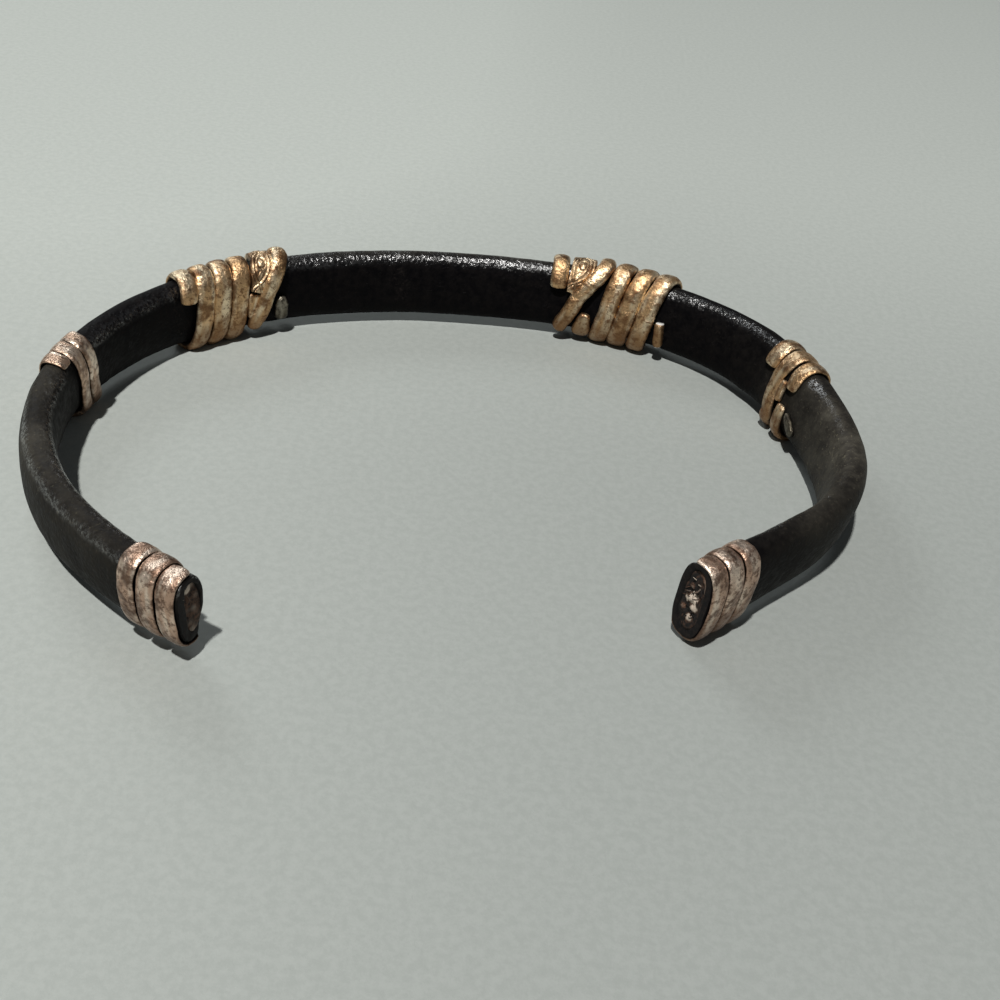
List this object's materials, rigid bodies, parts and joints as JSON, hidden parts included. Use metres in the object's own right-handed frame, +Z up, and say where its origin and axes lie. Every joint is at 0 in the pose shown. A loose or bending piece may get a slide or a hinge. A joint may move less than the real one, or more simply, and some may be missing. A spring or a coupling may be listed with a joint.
{
  "type": "cuff bracelet",
  "caption": "Open cuff bracelet: a leather-covered band bent to an uneven C and bound at its tips, sides and back with flattened metal wire and stamped strips, lying on its side.",
  "frame": {"origin": "on the surface that the cuff lies on, under the middle of its bounding box", "axes": "+Z up out of the surface, along the band's width; +Y to the closed back of the cuff, so its opening faces -Y; +X to the right, seen from the opening"},
  "size_m": [0.0678, 0.058, 0.0081],
  "materials": {
    "leather": "worn black leather with fine grain, a soft sheen and dusty scuffs",
    "core": "torn dark brown and cream fibres, matt",
    "wire": "aged and rubbed, pinkish tan with dark crevices",
    "stamped_strip": "aged, stamped with a row of loops, dark in the recesses"
  },
  "bodies": {
    "root": {"leather_sleeve": "leather", "core": "core", "left_tip_winding": "wire", "left_tip_end_coil": "wire", "left_side_winding": "wire", "back_left_winding": "wire", "back_left_strip": "stamped_strip", "back_left_crossing_wire": "wire", "back_left_tail_wire": "wire", "back_left_tongue": "wire", "back_right_flat_coil": "wire", "back_right_strip": "stamped_strip", "back_right_crossing_wire": "wire", "back_right_ridged_end": "wire", "back_right_winding": "wire", "back_right_stub": "wire", "right_side_winding": "wire", "right_side_end_coil": "wire", "right_side_tab": "wire", "right_side_tail": "wire", "right_tip_winding": "wire"}
  },
  "joints": []
}
